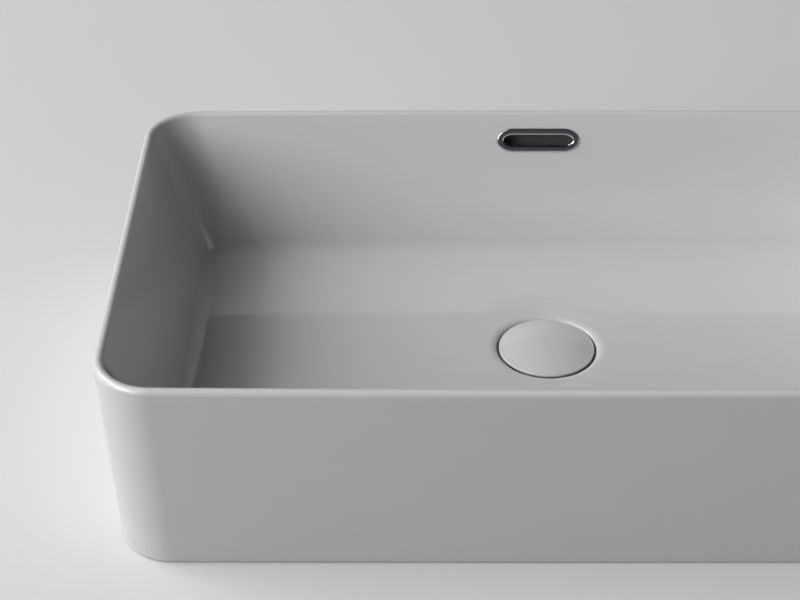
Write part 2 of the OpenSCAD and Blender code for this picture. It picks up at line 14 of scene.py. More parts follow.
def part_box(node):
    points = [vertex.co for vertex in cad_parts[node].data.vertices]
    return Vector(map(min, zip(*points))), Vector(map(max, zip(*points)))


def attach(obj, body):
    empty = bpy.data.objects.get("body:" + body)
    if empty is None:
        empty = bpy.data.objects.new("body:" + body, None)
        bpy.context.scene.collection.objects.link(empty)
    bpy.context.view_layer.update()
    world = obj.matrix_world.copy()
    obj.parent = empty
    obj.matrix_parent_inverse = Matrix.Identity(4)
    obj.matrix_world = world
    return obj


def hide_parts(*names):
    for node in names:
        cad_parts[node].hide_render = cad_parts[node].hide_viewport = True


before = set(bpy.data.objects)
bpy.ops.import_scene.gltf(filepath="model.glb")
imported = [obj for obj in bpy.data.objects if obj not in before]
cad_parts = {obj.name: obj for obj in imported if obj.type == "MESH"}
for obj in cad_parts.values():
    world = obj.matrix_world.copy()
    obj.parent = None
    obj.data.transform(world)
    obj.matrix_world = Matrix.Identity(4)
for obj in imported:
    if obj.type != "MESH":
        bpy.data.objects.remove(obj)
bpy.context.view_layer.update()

MM = 0.001

# Basin, as the solids have it
basin_low, basin_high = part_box("basin_body")
WIDTH = (basin_high.x - basin_low.x) / MM
DEPTH = (basin_high.y - basin_low.y) / MM
HEIGHT = basin_high.z / MM
RIM_R = 3.5
CORNER_R = 39
FOOT_CORNER_DROP = 2
RIM_BOW = 2.2
FOOT_BOW_SHARE = 0.25
FOOT_INSET = 6.5
FOOT_EDGE_R = 2
FOOT_LAND = 0.3
SKIRT_T = 8
WALL_LEAN = math.radians(20.5)
FLOOR_Z = 44
FLOOR_FALL = 2.5
VALLEY_R = 36
DISH_EASE = 16
BOWL_T = 9
COVE_R = 11
INNER_CORNER_R = 24
HOLLOW_GAP = 4

# Drain and its seat
DRAIN_Y = 11
DRAIN_HOLE_R = 23
HOLE_EDGE_R = 0.8
SEAT_DEPTH = 7
SEAT_FILLET = 1
DISH_LIP = 6.5
DISH_DROP = 2.8
DISH_FLAT = 1.5
BOSS_WALL = 6
BOSS_Z = 8
BOSS_EDGE_R = 2.5
BOSS_FILLET = 4

# Plug
CAP_R = 34.7
CAP_GAP = 1.4
CAP_EDGE_H = 2.4
CAP_EDGE_LOW = 1
CAP_EDGE_R = 0.9
CAP_UNDERCUT = 3
CAP_SHOULDER = 0.5
CAP_SOFT_R = 0.5
POCKET_R = 27
POCKET_EDGE_R = 0.4

# Overflow
SLOT_W = 53
SLOT_H = 7.6
SLOT_DROP = 20.2
RING_BAND = 5.2
RING_T = 1.6
RING_PROUD = 1.2
RING_EDGE = 0.9
RING_INNER_EDGE = 1.7
END_REACH = 3.7
SLEEVE_L = 5
SLEEVE_T = 1
SLEEVE_EDGE = 0.2
RING_BACK_EDGE = 0.15
GRIP_T = 0.9
FIT_GAP = 0.05
RECESS_GAP = 0.25
RECESS_SOFT = 0.35
CHAMBER_SKIN = 4.2
CHAMBER_SIDE = 1.5
CHAMBER_ROOM = 0.5
PORT_W = 26
PORT_H = 9
PORT_Z = 15
DUCT_WALL = 5
DUCT_LIFT = 0.2

# Waste
FLANGE_R = 32
FLANGE_T = 2
SHOULDER_R = 22
SHOULDER_H = 5
BODY_R = 20.4
BORE_R = 17.5
MOUTH_R = 21.5
MOUTH_RIM_R = 0.6
MOUTH_EDGE_R = 1.5
FLANGE_EDGE_R = 0.8
FLANGE_UNDER_R = 0.3
SHOULDER_EDGE_R = 0.3
SHOULDER_FILLET = 0.2
TAIL_R = 20.955
TAIL_EDGE = 0.8
TAIL_TIP_IN = 0.3
TAIL_TIP_R = 0.5
TAIL_BORE_EDGE_R = 0.4
THREAD_PITCH = 2.309
THREAD_TOP = 5.5
THREAD_LEAD = 0.6
THREAD_SLOPE = 0.5
RELIEF = (-13, -11.5)
WINDOW_W = 14
WINDOW_CORNER_R = 1.5
HUB_DROP = 1
HUB_R = 11.5
HUB_H = 10
HUB_EDGE = 0.6
BAR_W = 5
BAR_EDGE_R = 1
TUBE_R = 8
O_RING_SEAT = (9.8, 1.7)
NUT_AF = 56
NUT_BEVEL = 0.4
NUT_LEAD = 1
NUT_MOUTH = 1.1
NOSE_H = 3.5
NOSE_FLAT = 0.5
NOSE_GAP = 0.2
RING_FIT = 0.1
FIT_LINE = 0.05

# How far a cut reaches past what it cuts
CUT_PAST = 1

# Steps of the basin's outline along a corner, a long side and a short side
CORNER_STEPS = 24
LONG_STEPS = 72
SHORT_STEPS = 40

# Steps of the basin's section, from the rim down the bowl and back along its underside
RIM_STEPS = 24
WALL_STEPS = 22
COVE_STEPS = 14
FLOOR_STEPS = 36
ROLL_STEPS = 14
UNDER_STEPS = 10
SHELL_STEPS = 8
HOLLOW_STEPS = 6
SKIRT_STEPS = 18

# Steps of turned pieces, of a dome and of a turn of a coil
TURNED_STEPS = 144
DOME_STEPS = 40
COIL_STEPS = 72

# Straight runs longer than a few holds keep a point a hold away from each end
HOLD = 0.3
HOLDS_IN_RUN = 4

# Edges sharper than this stay sharp under smooth shading
SHARP_EDGE = math.radians(32)

# A radius below the first is on the axis, and an edge in metres below the second is no edge
ON_AXIS = 1e-6
NO_EDGE = 1e-7


def cosine_steps(count):
    """Shares from 0 to 1 that lie closer together towards both ends."""
    return [(1 - math.cos(math.pi * k / count)) / 2 for k in range(count + 1)]


def between(first, last, count):
    """Evenly spaced values from first to last."""
    return [first + (last - first) * k / count for k in range(count + 1)]


# The rim is a full round, and the two walls leave it at a tangent
RIM_Z = HEIGHT - RIM_R
OUT_LEAN = math.atan(FOOT_INSET / RIM_Z)
OUT_TOUCH = (RIM_R * (1 - math.cos(OUT_LEAN)), RIM_Z - RIM_R * math.sin(OUT_LEAN))
IN_TOUCH = (RIM_R * (1 + math.cos(WALL_LEAN)), RIM_Z + RIM_R * math.sin(WALL_LEAN))


def out_inset(z):
    """How far the outer wall lies inside the rim's outermost line."""
    return OUT_TOUCH[0] + (OUT_TOUCH[1] - z) * math.tan(OUT_LEAN)


def skirt_inset(z):
    """The same for the outer wall's back."""
    return out_inset(z) + SKIRT_T / math.cos(OUT_LEAN)


def bowl_inset(z):
    """The same for the bowl's wall."""
    return IN_TOUCH[0] + (IN_TOUCH[1] - z) * math.tan(WALL_LEAN)


def shell_inset(z):
    """The same for the bowl wall's back."""
    return bowl_inset(z) - BOWL_T / math.cos(WALL_LEAN)


COVE_Z = FLOOR_Z + COVE_R
COVE_INSET = bowl_inset(COVE_Z) + COVE_R / math.cos(WALL_LEAN)
COVE_TOP_Z = COVE_Z - COVE_R * math.sin(WALL_LEAN)
SHELL_R = COVE_R + BOWL_T
HOLLOW_Z = (shell_inset(0) - skirt_inset(0) - HOLLOW_GAP) / (math.tan(WALL_LEAN) - math.tan(OUT_LEAN))
DISH_Z = FLOOR_Z - FLOOR_FALL
SEAT_Z = DISH_Z - SEAT_DEPTH
SEAT_R = CAP_R + CAP_GAP
BOSS_R = SEAT_R + BOSS_WALL
UNDER_Z = DISH_Z - BOWL_T
SLOT_Z = HEIGHT - SLOT_DROP


def out_corner(z):
    """Radius of the outer upright corners."""
    return CORNER_R - FOOT_CORNER_DROP * (1 - z / RIM_Z)


def bowl_corner(z):
    """Radius of the bowl's upright corners."""
    down = (IN_TOUCH[1] - z) / (IN_TOUCH[1] - COVE_TOP_Z)
    return (CORNER_R - IN_TOUCH[0]) * (1 - down) + INNER_CORNER_R * down


def outline_pattern():
    """Signs of the corner's centre and direction of its radius for each point of an outline."""
    signs = [(1, 1), (-1, 1), (-1, -1), (1, -1)]
    rows = []
    for quarter, here in enumerate(signs):
        for angle in between(quarter * math.pi / 2, (quarter + 1) * math.pi / 2, CORNER_STEPS)[:-1]:
            rows.append((*here, math.cos(angle), math.sin(angle)))
        after = signs[(quarter + 1) % 4]
        angle = (quarter + 1) * math.pi / 2
        for share in cosine_steps(SHORT_STEPS if quarter % 2 else LONG_STEPS)[:-1]:
            sign = [a + (b - a) * share for a, b in zip(here, after)]
            rows.append((*sign, math.cos(angle), math.sin(angle)))
    return np.array(rows)


PATTERN = outline_pattern()


def outline(inset, z, corner):
    """Ring of points at one inset and height, anticlockwise from +X, bowed between the corners."""
    half_x = WIDTH / 2 - inset
    half_y = DEPTH / 2 - inset
    x = (half_x - corner) * PATTERN[:, 0] + corner * PATTERN[:, 2]
    y = (half_y - corner) * PATTERN[:, 1] + corner * PATTERN[:, 3]
    bow = RIM_BOW * (FOOT_BOW_SHARE + (1 - FOOT_BOW_SHARE) * z / HEIGHT)
    y = y * (1 - bow / half_y * (x / half_x) ** 2)
    return np.column_stack([x, y, np.full(len(x), z)])


def valley(y):
    """The floor is a shallow valley: this share of its fall is reached at a place along its depth."""
    reach = DEPTH / 2 - COVE_INSET - np.where(y > DRAIN_Y, 1, -1) * DRAIN_Y
    away = np.minimum(np.abs(y - DRAIN_Y), reach)
    bottom = 1 - away ** 2 / (VALLEY_R * reach)
    side = (reach - away) ** 2 / (reach * (reach - VALLEY_R))
    return np.where(away < VALLEY_R, bottom, side)


def let_down(ring, share):
    """A ring of the cove, let down into the valley by a share."""
    return ring - np.outer(FLOOR_FALL * share * valley(ring[:, 1]), [0, 0, 1])


def cove_point(radius, angle):
    return COVE_INSET - radius * math.cos(angle), COVE_Z - radius * math.sin(angle)


COVE_RING = outline(COVE_INSET, FLOOR_Z, INNER_CORNER_R - COVE_R * math.cos(WALL_LEAN))
FROM_DRAIN = COVE_RING - [0, DRAIN_Y, FLOOR_Z]
TOWARDS = FROM_DRAIN / np.linalg.norm(FROM_DRAIN, axis=1)[:, None]


def circle(radius, z):
    """Ring round the drain, with a point on the line to each point of the cove's ring."""
    return TOWARDS * radius + [0, DRAIN_Y, z]


def drawn_in(ring, radius, z, share):
    """Ring between an outline, share 0, and a circle round the drain, share 1.

    It lies in the valley, with z as the level of the cove, and reaches the dish's level at the circle.
    """
    drawn = ring * (1 - share) + circle(radius, 0) * share
    late = share ** DISH_EASE
    drawn[:, 2] = z - FLOOR_FALL * (late + (1 - late) * valley(drawn[:, 1]))
    return drawn


def rounded(corners, closed=True, steps=6, hold=HOLD):
    """Points of an outline given as (x, z, radius), with each corner rounded by its radius.

    Long straight runs get a point near each end, so that smooth shading keeps them flat.
    """
    points = []
    last = len(corners) - 1
    for k, (x, z, radius) in enumerate(corners):
        if radius == 0 or (not closed and k in (0, last)):
            points.append((x, z))
            continue
        here = Vector((x, z))
        before = (Vector(corners[k - 1][:2]) - here).normalized()
        after = (Vector(corners[(k + 1) % len(corners)][:2]) - here).normalized()
        half = before.angle(after) / 2
        centre = here + (before + after).normalized() * radius / math.sin(half)
        start = here + before * radius / math.tan(half) - centre
        end = here + after * radius / math.tan(half) - centre
        first = math.atan2(start.y, start.x)
        sweep = (math.atan2(end.y, end.x) - first + math.pi) % (2 * math.pi) - math.pi
        for angle in between(first, first + sweep, steps):
            points.append((centre.x + radius * math.cos(angle), centre.y + radius * math.sin(angle)))
    held = []
    for k, here in enumerate(points):
        held.append(here)
        if k == len(points) - 1 and not closed:
            break
        after = points[(k + 1) % len(points)]
        run = math.dist(here, after)
        if run > HOLDS_IN_RUN * hold:
            for share in (hold / run, 1 - hold / run):
                held.append(tuple(a + (b - a) * share for a, b in zip(here, after)))
    return held


def linked(name, mesh, materials=()):
    """Puts a mesh in the scene as an object at the origin, smooth, with its sharp edges marked."""
    for material in materials:
        mesh.materials.append(material)
    mesh.shade_smooth()
    mesh.set_sharp_from_angle(angle=SHARP_EDGE)
    piece = bpy.data.objects.new(name, mesh)
    bpy.context.scene.collection.objects.link(piece)
    return piece


def mesh_from(name, points, faces, slots=None):
    """Mesh in metres from points in millimetres, with its faces turned outwards."""
    mesh = bpy.data.meshes.new(name)
    mesh.from_pydata([Vector(p) * MM for p in points], [], faces)
    if slots is not None:
        mesh.polygons.foreach_set("material_index", slots)
    work = bmesh.new()
    work.from_mesh(mesh)
    if work.calc_volume(signed=True) < 0:
        bmesh.ops.reverse_faces(work, faces=work.faces)
    work.to_mesh(mesh)
    work.free()
    mesh.update()
    return mesh


def skinned(name, rings, slots=None):
    """Closed skin over a loop of rings, the last joined to the first. slots gives each band's material."""
    count = len(rings[0])
    points = np.vstack(rings)
    faces = []
    for band in range(len(rings)):
        here = band * count
        after = (band + 1) % len(rings) * count
        for k in range(count):
            near = (k + 1) % count
            faces.append((here + k, here + near, after + near, after + k))
    if slots is not None:
        slots = np.repeat(slots, count)
    return mesh_from(name, points, faces, slots)


def turned(name, profile, steps=TURNED_STEPS):
    """Closed solid of revolution about the drain's axis. Points of the profile on the axis become poles."""
    points = []
    rows = []
    for radius, z in profile:
        on_axis = radius < ON_AXIS
        rows.append((len(points), on_axis))
        spin = [0] if on_axis else [2 * math.pi * k / steps for k in range(steps)]
        points += [(radius * math.cos(a), DRAIN_Y + radius * math.sin(a), z) for a in spin]
    faces = []
    for (here, pole), (after, after_pole) in zip(rows, rows[1:] + rows[:1]):
        if pole and after_pole:
            continue
        for k in range(steps):
            near = (k + 1) % steps
            if pole:
                faces.append((here, after + near, after + k))
            elif after_pole:
                faces.append((here + k, here + near, after))
            else:
                faces.append((here + k, here + near, after + near, after + k))
    return mesh_from(name, points, faces)


def prism(name, section, half_width):
    """Solid with its section drawn in Y and Z, between -half_width and half_width on X."""
    count = len(section)
    points = [(side * half_width, y, z) for side in (-1, 1) for y, z in section]
    faces = [tuple(range(count)), tuple(range(2 * count - 1, count - 1, -1))]
    for k in range(count):
        near = (k + 1) % count
        faces.append((k, count + k, count + near, near))
    return mesh_from(name, points, faces)


def cut_with(name, base, steps):
    """Mesh left after steps of (operation, mesh, material slot), each on a closed solid."""
    body = bpy.data.objects.new(name + "_work", base)
    bpy.context.scene.collection.objects.link(body)
    tools = []
    for operation, mesh, slot in steps:
        mesh.polygons.foreach_set("material_index", [slot] * len(mesh.polygons))
        for material in base.materials:
            mesh.materials.append(material)
        tool = bpy.data.objects.new(name + "_tool", mesh)
        bpy.context.scene.collection.objects.link(tool)
        modifier = body.modifiers.new("cut", "BOOLEAN")
        modifier.operation = operation
        modifier.solver = "MANIFOLD"
        modifier.object = tool
        tools.append(tool)
    graph = bpy.context.evaluated_depsgraph_get()
    result = bpy.data.meshes.new_from_object(body.evaluated_get(graph))
    result.name = name
    for thing in [body, *tools]:
        bpy.data.objects.remove(thing)
    work = bmesh.new()
    work.from_mesh(result)
    bmesh.ops.dissolve_degenerate(work, dist=NO_EDGE, edges=work.edges)
    work.to_mesh(result)
    work.free()
    return result


# Materials

MOTTLE_DETAIL = 3.0
RELIEF_DETAIL = 2.0


def linear(code):
    """Linear colour from an sRGB hex code."""
    parts = [int(code[k:k + 2], 16) / 255 for k in (1, 3, 5)]
    return [p / 12.92 if p <= 0.04045 else ((p + 0.055) / 1.055) ** 2.4 for p in parts] + [1.0]


def node(tree, kind, values=None, **settings):
    """Adds a node with its settings and the values or links of its inputs."""
    made = tree.nodes.new(kind)
    for name, value in settings.items():
        setattr(made, name, value)
    for name, value in (values or {}).items():
        if isinstance(value, bpy.types.NodeSocket):
            tree.links.new(value, made.inputs[name])
        else:
            made.inputs[name].default_value = value
    return made


def surface(name, **inputs):
    """New material with its shader's own sockets set. Returns the material, its tree and its shader."""
    material = bpy.data.materials.new(name)
    material.use_nodes = True
    tree = material.node_tree
    shader = tree.nodes["Principled BSDF"]
    for label, value in inputs.items():
        shader.inputs[label.replace("_", " ")].default_value = value
    return material, tree, shader


def mottled(tree, shader, first, second, patch):
    """Colour that drifts between two close tones over patches of a size in millimetres."""
    place = node(tree, "ShaderNodeTexCoord")
    noise = node(tree, "ShaderNodeTexNoise", {
        "Vector": place.outputs["Object"],
        "Scale": 1 / (patch * MM),
        "Detail": MOTTLE_DETAIL,
    })
    tones = node(tree, "ShaderNodeMix", {"Factor": noise.outputs["Fac"]}, data_type="RGBA")
    tones.inputs["A"].default_value = linear(first)
    tones.inputs["B"].default_value = linear(second)
    tree.links.new(tones.outputs["Result"], shader.inputs["Base Color"])
    return place


def uneven(tree, shader, place, across, strength, depth):
    """Gentle relief of bumps, with how far they are across and their depth in millimetres."""
    noise = node(tree, "ShaderNodeTexNoise", {
        "Vector": place.outputs["Object"],
        "Scale": 1 / (across * MM),
        "Detail": RELIEF_DETAIL,
    })
    bump = node(tree, "ShaderNodeBump", {
        "Strength": strength,
        "Distance": depth * MM,
        "Height": noise.outputs["Fac"],
    })
    tree.links.new(bump.outputs["Normal"], shader.inputs["Normal"])


def glazed_china():
    """Vitreous china under a clear glaze: white, very smooth, with the faint ripple of fired glass."""
    material, tree, shader = surface("glazed_china", Roughness=0.035, IOR=1.62)
    place = mottled(tree, shader, "#D3D2D3", "#D1D0D1", patch=40)
    uneven(tree, shader, place, across=12, strength=0.012, depth=0.1)
    return material


def biscuit_china():
    """Unglazed china of the foot and the underside: chalky, with a fine grain."""
    material, tree, shader = surface("biscuit_china", Roughness=0.85)
    place = mottled(tree, shader, "#CFCCC6", "#C6C2BB", patch=6)
    uneven(tree, shader, place, across=0.8, strength=0.3, depth=0.1)
    return material


def painted_shade_duct():
    """Inside of the overflow duct: bare china painted dark grey, a painted shade that stands in for the
    dark of the chamber.
    """
    material, tree, shader = surface("painted_shade_duct", Roughness=0.6)
    mottled(tree, shader, "#5A5856", "#514F4C", patch=5)
    return material


def plated_chrome():
    """Chrome plate on polished brass: a near mirror with faint wiping marks."""
    material, tree, shader = surface("plated_chrome", Metallic=1.0, Roughness=0.12)
    place = mottled(tree, shader, "#D2D3D6", "#CACBCE", patch=8)
    uneven(tree, shader, place, across=2, strength=0.02, depth=0.05)
    return material


def turned_brass():
    """Plain turned brass: satin, with fine tool marks."""
    material, tree, shader = surface("turned_brass", Metallic=1.0, Roughness=0.3)
    place = mottled(tree, shader, "#C2A768", "#B59A5B", patch=6)
    uneven(tree, shader, place, across=0.7, strength=0.1, depth=0.05)
    return material


def black_rubber():
    """Moulded black rubber: matt, slightly dusty."""
    material, tree, shader = surface("black_rubber", Roughness=0.65)
    place = mottled(tree, shader, "#232324", "#2B2B2C", patch=5)
    uneven(tree, shader, place, across=0.6, strength=0.15, depth=0.05)
    return material


def white_acetal():
    """Moulded acetal: waxy white, satin."""
    material, tree, shader = surface("white_acetal", Roughness=0.4)
    place = mottled(tree, shader, "#E4E2DC", "#DEDCD5", patch=12)
    uneven(tree, shader, place, across=1.0, strength=0.05, depth=0.05)
    return material


def clear_silicone():
    """Cured silicone of the cap's bond: milky and soft looking."""
    material, tree, shader = surface("clear_silicone", Roughness=0.35)
    mottled(tree, shader, "#DADAD6", "#D2D2CE", patch=4)
    return material


def drawn_steel():
    """Drawn stainless spring wire: grey, brushed along its length."""
    material, tree, shader = surface("drawn_steel", Metallic=1.0, Roughness=0.28)
    place = mottled(tree, shader, "#A6A7A8", "#999A9B", patch=3)
    uneven(tree, shader, place, across=0.5, strength=0.1, depth=0.03)
    return material


GLAZE = glazed_china()
BISCUIT = biscuit_china()
# The duct's material is painted shade: a dark grey in place of the shade inside the overflow's chamber and
# port
DUCT_PAINTED_SHADE = painted_shade_duct()
CHROME = plated_chrome()
BRASS = turned_brass()
RUBBER = black_rubber()
ACETAL = white_acetal()
SILICONE = clear_silicone()
STEEL = drawn_steel()


# Basin


def drain_section():
    """Radius and height from the floor over the rolled edge, down the seat and hole and up the boss."""
    rolled = [
        (SEAT_R + DISH_LIP * (1 - math.sin(a)), DISH_Z - DISH_DROP * (1 - math.cos(a)))
        for a in between(0, math.pi / 2, ROLL_STEPS)
    ]
    below = rounded([
        (SEAT_R, DISH_Z - DISH_DROP, 0),
        (SEAT_R, SEAT_Z, SEAT_FILLET),
        (DRAIN_HOLE_R, SEAT_Z, HOLE_EDGE_R),
        (DRAIN_HOLE_R, BOSS_Z, HOLE_EDGE_R),
        (BOSS_R, BOSS_Z, BOSS_EDGE_R),
        (BOSS_R, UNDER_Z, BOSS_FILLET),
        (BOSS_R + 2 * BOSS_FILLET, UNDER_Z, 0),
    ], closed=False)
    return rolled[:-1] + below


def basin_rings():
    """Rings over the rim, down the bowl, through the drain and back under, with their materials."""
    glazed = []
    for a in between(-OUT_LEAN, math.pi - WALL_LEAN, RIM_STEPS):
        inset = RIM_R * (1 - math.cos(a))
        glazed.append(outline(inset, RIM_Z + RIM_R * math.sin(a), CORNER_R - inset))
    for share in cosine_steps(WALL_STEPS)[1:-1]:
        z = IN_TOUCH[1] + (COVE_TOP_Z - IN_TOUCH[1]) * share
        glazed.append(outline(bowl_inset(z), z, bowl_corner(z)))
    for a in between(WALL_LEAN, math.pi / 2, COVE_STEPS):
        inset, z = cove_point(COVE_R, a)
        ring = outline(inset, z, INNER_CORNER_R - COVE_R * (math.cos(WALL_LEAN) - math.cos(a)))
        glazed.append(let_down(ring, (a - WALL_LEAN) / (math.pi / 2 - WALL_LEAN)))
    for share in cosine_steps(FLOOR_STEPS)[1:]:
        glazed.append(drawn_in(COVE_RING, SEAT_R + DISH_LIP + DISH_FLAT, FLOOR_Z, share))
    drain = [circle(radius, z) for radius, z in drain_section()]
    bare = []
    outer = INNER_CORNER_R + BOWL_T - SHELL_R * math.cos(WALL_LEAN)
    shell_ring = outline(COVE_INSET, COVE_Z - SHELL_R, outer)
    for share in cosine_steps(UNDER_STEPS)[-2::-1]:
        bare.append(drawn_in(shell_ring, BOSS_R + 2 * BOSS_FILLET, FLOOR_Z - BOWL_T, share))
    for a in between(math.pi / 2, WALL_LEAN, SHELL_STEPS)[1:]:
        inset, z = cove_point(SHELL_R, a)
        ring = outline(inset, z, INNER_CORNER_R + BOWL_T - SHELL_R * (math.cos(WALL_LEAN) - math.cos(a)))
        bare.append(let_down(ring, (a - WALL_LEAN) / (math.pi / 2 - WALL_LEAN)))
    top_corner = bowl_corner(HOLLOW_Z) + BOWL_T
    for share in cosine_steps(HOLLOW_STEPS)[1:-1]:
        z = (COVE_Z - SHELL_R * math.sin(WALL_LEAN)) * (1 - share) + HOLLOW_Z * share
        bare.append(outline(shell_inset(z), z, bowl_corner(z) + BOWL_T))
    for a in between(0, math.pi, SHELL_STEPS):
        share = (1 - math.cos(a)) / 2
        inset = shell_inset(HOLLOW_Z) * (1 - share) + skirt_inset(HOLLOW_Z) * share
        corner = top_corner * (1 - share) + (out_corner(HOLLOW_Z) - SKIRT_T) * share
        bare.append(outline(inset, HOLLOW_Z + HOLLOW_GAP / 2 * math.sin(a), corner))
    for share in cosine_steps(HOLLOW_STEPS)[1:]:
        z = HOLLOW_Z * (1 - share) + FOOT_EDGE_R / 2 * share
        bare.append(outline(skirt_inset(z), z, out_corner(z) - SKIRT_T))
    inner = skirt_inset(0) - FOOT_EDGE_R / 2
    bare.append(outline(inner, 0, out_corner(0) - SKIRT_T + FOOT_EDGE_R / 2))
    bare.append(outline(inner - FOOT_LAND, 0, out_corner(0) - SKIRT_T + FOOT_EDGE_R / 2 + FOOT_LAND))
    skirt = [outline(out_inset(0) + FOOT_EDGE_R + FOOT_LAND, 0, out_corner(0) - FOOT_EDGE_R - FOOT_LAND)]
    for a in between(math.pi / 2, 0, SHELL_STEPS):
        back = FOOT_EDGE_R * (1 - math.cos(a))
        z = FOOT_EDGE_R * (1 - math.sin(a))
        skirt.append(outline(out_inset(FOOT_EDGE_R) + back, z, out_corner(0) - back))
    for share in cosine_steps(SKIRT_STEPS)[1:-1]:
        z = FOOT_EDGE_R * (1 - share) + OUT_TOUCH[1] * share
        skirt.append(outline(out_inset(z), z, out_corner(z)))
    rings = glazed + drain + bare + skirt
    drain_bare = len(drain) // 2
    slots = [0] * (len(glazed) + drain_bare)
    slots += [1] * (len(drain) - drain_bare + len(bare))
    slots += [0] * len(skirt)
    return rings, slots


WALL_UP = Vector((0, math.sin(WALL_LEAN), math.cos(WALL_LEAN)))
WALL_OUT = Vector((0, -math.cos(WALL_LEAN), math.sin(WALL_LEAN)))
SLOT_AT = Vector((0, DEPTH / 2 - bowl_inset(SLOT_Z), SLOT_Z))


def on_wall(along, up, out):
    """Point in the overflow's own frame: along the slot, up the wall and out of it into the bowl."""
    return tuple(SLOT_AT + Vector((along, 0, 0)) + WALL_UP * up + WALL_OUT * out)


def stadium(radius, out, steps=32):
    """Ring round the slot at a radius, with drawn-out ends, and its distance out of the wall."""
    run = (SLOT_W - SLOT_H) / 2 - END_REACH
    points = []
    for side in (1, -1):
        for a in between(-math.pi / 2, math.pi / 2, steps):
            along = run + (radius + END_REACH) * math.cos(a)
            points.append(on_wall(side * along, side * radius * math.sin(a), out))
    return points


def stadium_plug(name, section):
    """Closed solid whose stadium rings follow a section of (radius, distance out), capped at both ends."""
    rings = [stadium(radius, out) for radius, out in section]
    count = len(rings[0])
    points = [p for ring in rings for p in ring]
    faces = [tuple(range(count)), tuple(range(len(points) - 1, len(points) - count - 1, -1))]
    for band in range(len(rings) - 1):
        for k in range(count):
            near = (k + 1) % count
            here = band * count
            faces.append((here + k, here + count + k, here + count + near, here + near))
    return mesh_from(name, points, faces)


def back_of(inset):
    return DEPTH / 2 - inset


def duct_solids():
    """Casings of the overflow's chamber and port, and the voids in them."""
    sleeve_grow = SLEEVE_T + GRIP_T + FIT_GAP
    chamber_w = SLOT_W + 2 * sleeve_grow + 2 * CHAMBER_SIDE
    top = HOLLOW_Z + HOLLOW_GAP
    skin = CHAMBER_SKIN / math.cos(WALL_LEAN)
    chamber_top = SLOT_Z + SLOT_H / 2 + sleeve_grow + CHAMBER_ROOM
    low = BOSS_Z + DUCT_LIFT
    casing = prism("casing", [
        (back_of(bowl_inset(top)) + BOWL_T / 2, top),
        (back_of(bowl_inset(COVE_TOP_Z)) + BOWL_T / 2, COVE_TOP_Z),
        (back_of(COVE_INSET), FLOOR_Z - BOWL_T / 2),
        (back_of(COVE_INSET), low),
        (back_of(out_inset(low)) - SKIRT_T / 2, low),
        (back_of(out_inset(top)) - SKIRT_T / 2, top),
    ], chamber_w / 2 + DUCT_WALL)
    middle = (FLOOR_Z + DISH_Z - BOWL_T) / 2
    port_casing = prism("port_casing", [
        (DRAIN_Y + (BOSS_R + DRAIN_HOLE_R) / 2, low),
        (back_of(COVE_INSET) + DUCT_WALL, low),
        (back_of(COVE_INSET) + DUCT_WALL, middle),
        (DRAIN_Y + (BOSS_R + DRAIN_HOLE_R) / 2, middle),
    ], PORT_W / 2 + DUCT_WALL)
    chamber = prism("chamber", [
        (back_of(bowl_inset(chamber_top)) + skin, chamber_top),
        (back_of(bowl_inset(COVE_TOP_Z)) + skin, COVE_TOP_Z),
        (back_of(bowl_inset(FLOOR_Z)), PORT_Z + PORT_H),
        (back_of(bowl_inset(FLOOR_Z)), PORT_Z),
        (back_of(out_inset(PORT_Z)) - CHAMBER_SKIN, PORT_Z),
        (back_of(out_inset(chamber_top)) - CHAMBER_SKIN, chamber_top),
    ], chamber_w / 2)
    port = prism("port", [
        (DRAIN_Y, PORT_Z),
        (back_of(bowl_inset(FLOOR_Z)) + DUCT_WALL, PORT_Z),
        (back_of(bowl_inset(FLOOR_Z)) + DUCT_WALL, PORT_Z + PORT_H),
        (DRAIN_Y, PORT_Z + PORT_H),
    ], PORT_W / 2)
    return casing, port_casing, chamber, port


def recess_cut():
    """Seat of the trim ring in the wall, with a softened edge."""
    seat_r = SLOT_H / 2 + RING_BAND + RECESS_GAP
    depth = RING_T - RING_PROUD + FIT_GAP
    return stadium_plug("recess", [
        (seat_r + 4 * RECESS_SOFT, CUT_PAST),
        (seat_r + RECESS_SOFT, 0),
        (seat_r + RECESS_SOFT / 4, -RECESS_SOFT / 3),
        (seat_r, -depth),
    ])


def sleeve_cut():
    hole_r = SLOT_H / 2 + SLEEVE_T + GRIP_T + FIT_GAP
    return stadium_plug("sleeve_hole", [(hole_r, CUT_PAST), (hole_r, -CHAMBER_SKIN - CUT_PAST)])


def make_basin():
    rings, slots = basin_rings()
    base = skinned("basin_shell", rings, slots)
    for material in (GLAZE, BISCUIT, DUCT_PAINTED_SHADE):
        base.materials.append(material)
    casing, port_casing, chamber, port = duct_solids()
    shape = cut_with("basin_shell", base, [
        ("UNION", casing, 1),
        ("UNION", port_casing, 1),
        # The chamber, the port and the sleeve's hole take slot 2, the duct's painted shade
        ("DIFFERENCE", chamber, 2),
        ("DIFFERENCE", port, 2),
        ("DIFFERENCE", recess_cut(), 0),
        ("DIFFERENCE", sleeve_cut(), 2),
    ])
    return linked("basin_shell", shape)


basin = make_basin()
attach(basin, "basin")
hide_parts("basin_body")


# Overflow's trim ring


def make_trim():
    inner = SLOT_H / 2
    outer = inner + RING_BAND
    back = RING_PROUD - RING_T
    section = rounded([
        (inner, back - SLEEVE_L, SLEEVE_EDGE),
        (inner + SLEEVE_T, back - SLEEVE_L, SLEEVE_EDGE),
        (inner + SLEEVE_T, back, 0),
        (outer, back, RING_BACK_EDGE),
        (outer, RING_PROUD, RING_EDGE),
        (inner, RING_PROUD, RING_INNER_EDGE),
    ], hold=HOLD / 2, steps=8)
    rings = [stadium(radius, out) for radius, out in section]
    return linked("overflow_trim", skinned("overflow_trim", rings), [CHROME])


trim = make_trim()
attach(trim, "basin")
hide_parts("overflow_ring")


# Plug


